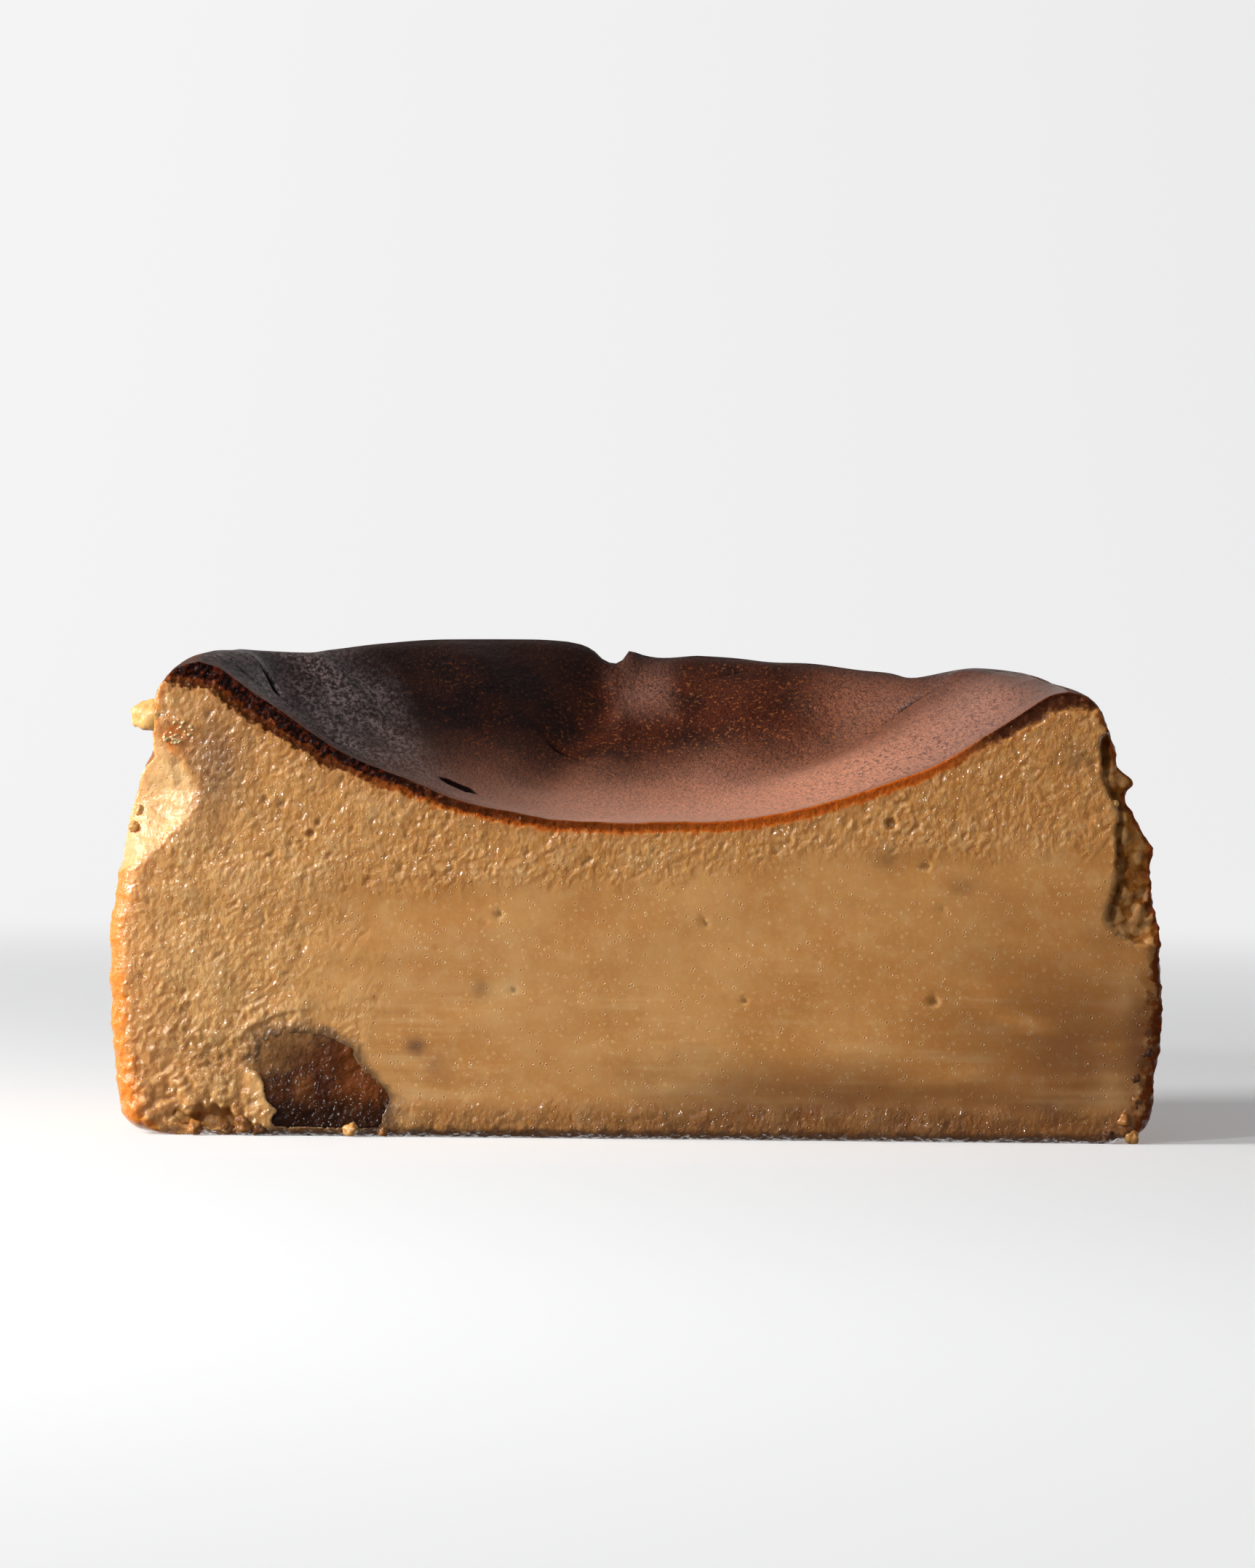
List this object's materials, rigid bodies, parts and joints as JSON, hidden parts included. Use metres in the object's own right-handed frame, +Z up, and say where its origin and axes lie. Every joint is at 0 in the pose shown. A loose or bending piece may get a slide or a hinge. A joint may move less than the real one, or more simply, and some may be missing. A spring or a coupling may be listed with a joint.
{
  "type": "basque cheesecake",
  "caption": "Half of a burnt basque cheesecake cut across its diameter, with a sunken folded dark top and candied chestnut showing in the custard cut.",
  "frame": {"origin": "centre of the bounding box, at the height of the flat underside", "axes": "+X along the cut, to the right as the cut is looked at; +Y from the cut into the cake, towards its round side; +Z up"},
  "size_m": [0.1501, 0.0757, 0.071],
  "materials": {
    "cheesecake": "moist baked custard with a burnt dark brown top and browned side",
    "chestnut": "moist candied chestnut, mauve-brown, slightly translucent"
  },
  "bodies": {
    "root": {"cheesecake": "cheesecake", "chestnut": "chestnut", "chestnut_bit": "chestnut"}
  },
  "joints": []
}
